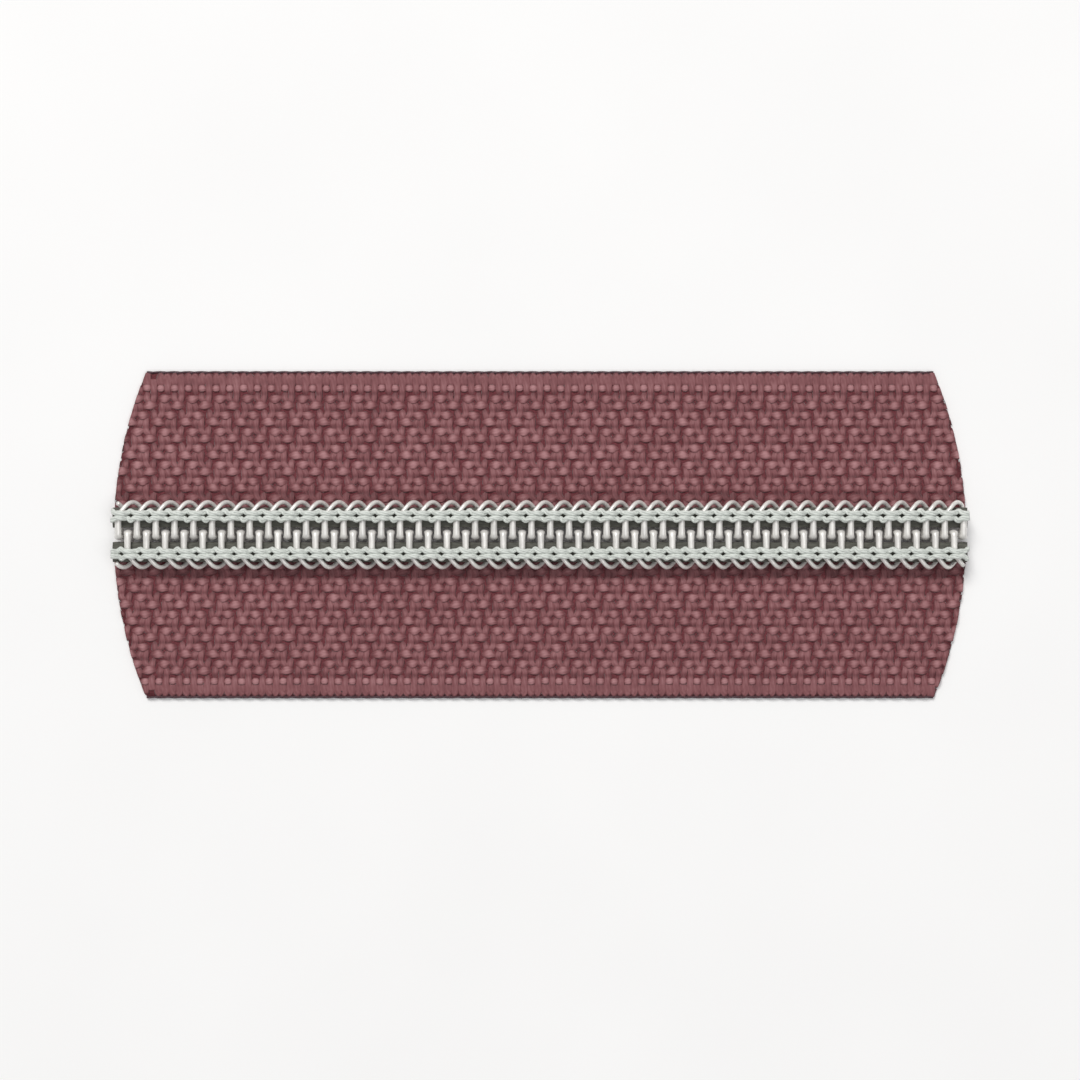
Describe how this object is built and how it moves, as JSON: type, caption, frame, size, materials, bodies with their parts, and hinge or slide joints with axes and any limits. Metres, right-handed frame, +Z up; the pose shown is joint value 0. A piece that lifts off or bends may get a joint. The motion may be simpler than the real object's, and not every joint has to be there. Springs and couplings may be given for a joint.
{
  "type": "zipper chain",
  "caption": "Cut length of closed coil zipper chain: two woven tapes with interlocked metallised coils sewn to their inner edges, for sewing into a garment or bag.",
  "frame": {"origin": "on the underside of the tapes, in the middle of the chain's length and width", "axes": "+X along the chain, +Y across it towards the left tape's selvedge, +Z up out of the face that carries the coils"},
  "size_m": [0.078, 0.03, 0.0027],
  "materials": {
    "coil": "satin",
    "core_cord": "matte",
    "tape_cloth": "matte",
    "needle_thread": "satin",
    "looper_thread": "satin",
    "catch_thread": "matte"
  },
  "bodies": {
    "left_stringer": {"left_coil": "coil", "left_core_cord": "core_cord", "left_tape_band": "tape_cloth", "left_needle_thread_inner": "needle_thread", "left_needle_thread_outer": "needle_thread", "left_looper_thread_inner": "looper_thread", "left_looper_thread_outer": "looper_thread"},
    "left_wing": {"left_tape_wing": "tape_cloth", "left_selvedge_catch_thread": "catch_thread"},
    "right_stringer": {"right_coil": "coil", "right_core_cord": "core_cord", "right_tape_band": "tape_cloth", "right_needle_thread_inner": "needle_thread", "right_needle_thread_outer": "needle_thread", "right_looper_thread_inner": "looper_thread", "right_looper_thread_outer": "looper_thread"},
    "right_wing": {"right_tape_wing": "tape_cloth", "right_selvedge_catch_thread": "catch_thread"}
  },
  "joints": [
    {"name": "stringers_part", "type": "slide", "parent": "left_stringer", "child": "right_stringer", "axis": [0, -1, 0], "range_m": [0, 0.012]},
    {"name": "left_tape_fold", "type": "hinge", "parent": "left_stringer", "child": "left_wing", "pos_m": [0, 0.0042, 0.00025], "axis": [1, 0, 0], "range_deg": [-110, 110], "stiffness_Nm_per_rad": 0.0002},
    {"name": "right_tape_fold", "type": "hinge", "parent": "right_stringer", "child": "right_wing", "pos_m": [0, -0.0042, 0.00025], "axis": [-1, 0, 0], "range_deg": [-110, 110], "stiffness_Nm_per_rad": 0.0002}
  ]
}
